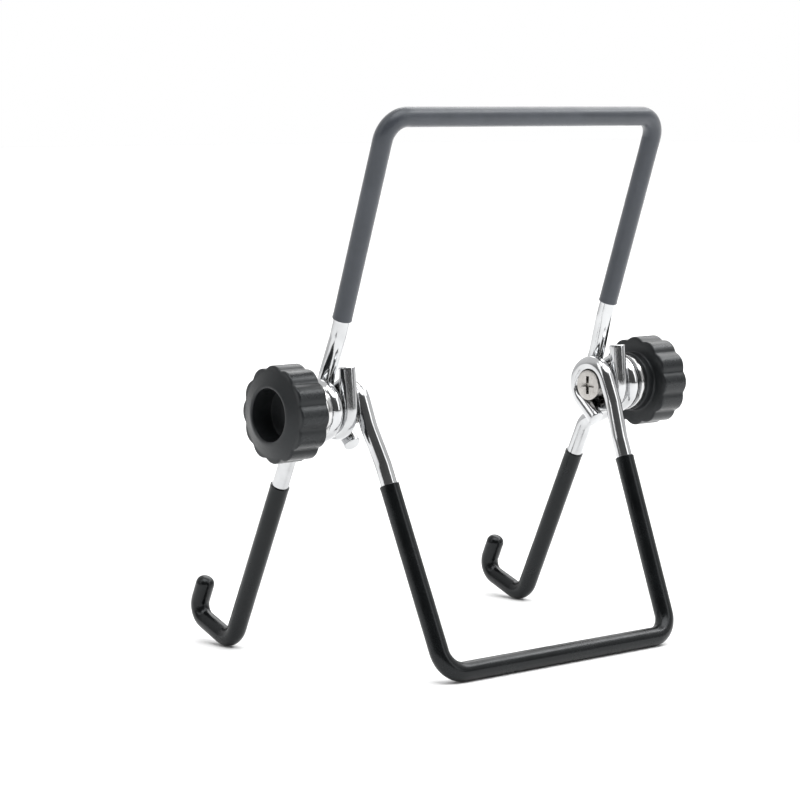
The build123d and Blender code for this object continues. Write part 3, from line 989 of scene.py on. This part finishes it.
def plated_steel(name, bright, dull, polish, ring_pitch):
    """Plated turned steel: concentric tool marks under the plating."""
    s = Shader(name)
    marks = s.rings(ring_pitch)
    cloud = s.noise(0.5, 3, 0.6)
    scuffs = s.noise(4.0, 5, 0.7)
    s.surface.inputs["Metallic"].default_value = 1
    s.join(s.colours(s.ramp(cloud, 0.3, 0.7, 0, 1), bright, dull), "Base Color")
    gloss = s.ramp(cloud, 0.3, 0.7, polish, polish + CLOUDED)
    s.join(s.math("ADD", gloss, s.ramp(scuffs, 0.55, 0.8, 0, 0.14)), "Roughness")
    turned_marks = s.bump(marks, 0.25, BUMP_LINES)
    s.join(s.bump(scuffs, 0.08, BUMP_LIGHT, turned_marks), "Normal")
    return s.material


# ----------------------------------------------------------------------- pieces
CUT_ENDS = (CUT_ROUND, CUT_ROUND)
LIP_ENDS = (SLEEVE_LIP, SLEEVE_LIP)
CAP_ENDS = (CAP_ROUND, SLEEVE_LIP)

wire_look = plated_wire()
# One vinyl in two copies. The upper sleeve's copy has its base colour painted lighter, as
# painted light from above. The lower sleeves' and hooks' copy is painted near black, as
# painted shade.
upper_vinyl_painted_lit = soft_vinyl(
    "upper_vinyl_painted_lit", dark=(0.033, 0.037, 0.045), light=(0.049, 0.054, 0.065),
    sheen=0.3, shine=0.45, polish=0.3)
lower_vinyl_painted_shade = soft_vinyl(
    "lower_vinyl_painted_shade", dark=(0.0016, 0.0019, 0.0021), light=(0.0044, 0.0052, 0.0056),
    sheen=0.02, shine=0.28, polish=0.17)
knob_look = moulded_plastic()
bolt_look = plated_steel(
    "bolt_plating", bright=(0.47, 0.455, 0.435), dull=(0.37, 0.357, 0.34),
    polish=0.18, ring_pitch=0.35)
washer_look = plated_steel(
    "washer_plating", bright=(0.60, 0.60, 0.60), dull=(0.49, 0.49, 0.49),
    polish=0.10, ring_pitch=0.5)
nut_look = plated_steel(
    "nut_steel", bright=(0.60, 0.60, 0.60), dull=(0.45, 0.45, 0.46),
    polish=0.26, ring_pitch=0.3)


def frame_pieces():
    """Both bent frames, each a wire with its sleeve."""
    parts = (
        ("upper_frame", upper_wire_route, upper_sleeve_route, upper_vinyl_painted_lit, "upper_sleeve"),
        ("rear_leg", rear_wire_route, rear_sleeve_route, lower_vinyl_painted_shade, "sleeve"),
    )
    for body, wire_route, sleeve_route, vinyl, slot in parts:
        verts, faces, grain = solid_tube(wire_route(), CUT_ENDS, wire_radius)
        rod = mesh_object(f"{body}_bent_wire", verts, faces)
        set_grain(rod, grain)
        finish_piece(rod, wire_look, body, f"{body}_wire")
        radius_at = sleeve_radius(LIP_ENDS)
        verts, faces, grain = hollow_tube(sleeve_route(), LIP_ENDS, radius_at)
        cover = mesh_object(f"{body}_soft_sleeve", verts, faces)
        set_grain(cover, grain)
        finish_piece(cover, vinyl, body, f"{body}_sleeve", SOFT_CREASE)


def side_pieces(side, sign):
    """Hook, bolt, washer, knob and nut of one side; sign is its direction in X."""

    def piece(name, verts, faces):
        if sign < 0:
            verts, faces = mirrored(verts, faces)
        return mesh_object(f"{side}_{name}", verts, faces)

    verts, faces, grain = solid_tube(hook_wire_route(), CUT_ENDS, wire_radius)
    rod = piece("hook_bent_wire", verts, faces)
    set_grain(rod, grain)
    finish_piece(rod, wire_look, f"{side}_hook", f"{side}_hook_wire")

    route, radius_at = hook_sleeve_route(), sleeve_radius(CAP_ENDS)
    verts, faces, grain = capped_sleeve(route, CAP_ENDS, radius_at)
    cover = piece("hook_soft_sleeve", verts, faces)
    set_grain(cover, grain)
    node = f"{side}_hook_sleeve"
    finish_piece(cover, lower_vinyl_painted_shade, f"{side}_hook", node, SOFT_CREASE)

    profile = bolt_profile() + thread_rows()
    bolt = piece("threaded_bolt", *turned(profile, shape=bolt_shape(sign)))
    cut(bolt, piece("cross", *cross_cutter()))
    set_grain(bolt)
    finish_piece(bolt, bolt_look, "upper_frame", f"{side}_clamp_bolt")

    ring = piece("stamped_washer", *turned(washer_profile()))
    set_grain(ring)
    finish_piece(ring, washer_look, f"{side}_washer", f"{side}_flat_washer")

    grip = piece("lobed_knob", *knob_mesh())
    set_grain(grip)
    finish_piece(grip, knob_look, f"{side}_knob", f"{side}_knob")

    nut = piece("hexagon_nut", *nut_mesh())
    set_grain(nut)
    node = f"{side}_knob_nut"
    finish_piece(nut, nut_look, f"{side}_knob", node, NUT_CREASE)


frame_pieces()
side_pieces("right", 1)
side_pieces("left", -1)


# ------------------------------------------------------------------------ stage
def studio_floor():
    """Plain pale floor, wide enough to fill every view."""
    half = FLOOR_HALF
    corners = [(-half, -half, 0), (half, -half, 0), (half, half, 0), (-half, half, 0)]
    mesh = bpy.data.meshes.new("studio_floor")
    mesh.from_pydata(corners, [], [(0, 1, 2, 3)])
    floor = bpy.data.objects.new("studio_floor", mesh)
    bpy.context.scene.collection.objects.link(floor)
    paint = bpy.data.materials.new("studio_floor")
    paint.use_nodes = True
    surface = next(n for n in paint.node_tree.nodes if n.type == "BSDF_PRINCIPLED")
    surface.inputs["Base Color"].default_value = (0.93, 0.93, 0.93, 1)
    surface.inputs["Roughness"].default_value = 0.8
    surface.inputs["Specular IOR Level"].default_value = 0.1
    mesh.materials.append(paint)


def around(azimuth, elevation):
    """Unit vector from the object towards that direction."""
    turn, rise = math.radians(azimuth), math.radians(elevation)
    flat = math.cos(rise)
    return Vector((math.sin(turn) * flat, -math.cos(turn) * flat, math.sin(rise)))


def studio_world():
    """A white backdrop behind the stand, seen from the photograph's camera, and
    a dark room in front of it. Looked at directly it is plain white."""
    world = bpy.data.worlds.new("studio")
    bpy.context.scene.world = world
    world.use_nodes = True
    nodes, links = world.node_tree.nodes, world.node_tree.links
    nodes.clear()
    output = nodes.new("ShaderNodeOutputWorld")
    pick = nodes.new("ShaderNodeMixShader")
    rays = nodes.new("ShaderNodeLightPath")
    seen = nodes.new("ShaderNodeBackground")
    seen.inputs["Color"].default_value = (1, 1, 1, 1)
    room = nodes.new("ShaderNodeBackground")
    place = nodes.new("ShaderNodeTexCoord")
    facing = nodes.new("ShaderNodeVectorMath")
    facing.operation = "DOT_PRODUCT"
    facing.inputs[1].default_value = around(CAMERA_AZIMUTH + 180, BACKDROP_LIFT)
    share = nodes.new("ShaderNodeMapRange")
    share.inputs["From Min"].default_value = -1
    levels = nodes.new("ShaderNodeValToRGB")
    ramp = levels.color_ramp.elements
    for _ in ROOM_LEVELS[2:]:
        ramp.new(1)
    for element, (position, level) in zip(ramp, ROOM_LEVELS):
        element.position = position
        element.color = (level, level, level, 1)
    links.new(place.outputs["Generated"], facing.inputs[0])
    links.new(facing.outputs["Value"], share.inputs["Value"])
    links.new(share.outputs["Result"], levels.inputs["Fac"])
    links.new(levels.outputs["Color"], room.inputs["Color"])
    links.new(rays.outputs["Is Camera Ray"], pick.inputs["Fac"])
    links.new(room.outputs["Background"], pick.inputs[1])
    links.new(seen.outputs["Background"], pick.inputs[2])
    links.new(pick.outputs["Shader"], output.inputs["Surface"])


axis_middle = Vector((0, AXIS_Y * MM, AXIS_Z * MM))


def placed(name, light, azimuth, elevation):
    """Puts a light that faces the stand from the given direction."""
    obj = bpy.data.objects.new(name, light)
    back = around(azimuth, elevation)
    obj.location = axis_middle + back * LIGHT_DISTANCE
    obj.rotation_mode = "QUATERNION"
    obj.rotation_quaternion = back.to_track_quat("Z", "Y")
    obj.visible_camera = False
    bpy.context.scene.collection.objects.link(obj)


def softbox(name, azimuth, elevation, size, power):
    """Rectangular soft light: its width and height in metres, its power in watts."""
    light = bpy.data.lights.new(name, "AREA")
    light.shape = "RECTANGLE"
    light.size, light.size_y = size
    light.energy = power
    placed(name, light, azimuth, elevation)


def overhead(name, azimuth, elevation, spread, strength):
    """Broad even light, which keeps the floor one white out to the horizon."""
    light = bpy.data.lights.new(name, "SUN")
    light.angle = math.radians(spread)
    light.energy = strength
    placed(name, light, azimuth, elevation)


def studio_camera():
    data = bpy.data.cameras.new("camera")
    data.lens = CAMERA_LENS
    data.sensor_width = SENSOR_WIDTH
    camera = bpy.data.objects.new("camera", data)
    back = around(CAMERA_AZIMUTH, CAMERA_ELEVATION)
    right = around(CAMERA_AZIMUTH + 90, 0)
    up = back.cross(right)
    offset = back * CAMERA_DISTANCE + right * CAMERA_RIGHT + up * CAMERA_UP
    camera.location = axis_middle + offset
    camera.rotation_mode = "QUATERNION"
    camera.rotation_quaternion = back.to_track_quat("Z", "Y")
    bpy.context.scene.collection.objects.link(camera)
    bpy.context.scene.camera = camera


studio_floor()
studio_world()
overhead("top", azimuth=170, elevation=72, spread=50, strength=2.0)
softbox("camera_right", azimuth=205, elevation=30, size=(0.3, 1.1), power=2.4)
softbox("camera_left", azimuth=80, elevation=35, size=(0.3, 1.1), power=2.0)
softbox("behind", azimuth=300, elevation=42, size=(0.9, 0.5), power=4)
softbox("strip", azimuth=244, elevation=44, size=(0.7, 0.16), power=3.2)
studio_camera()
bpy.context.scene.view_settings.view_transform = "Standard"
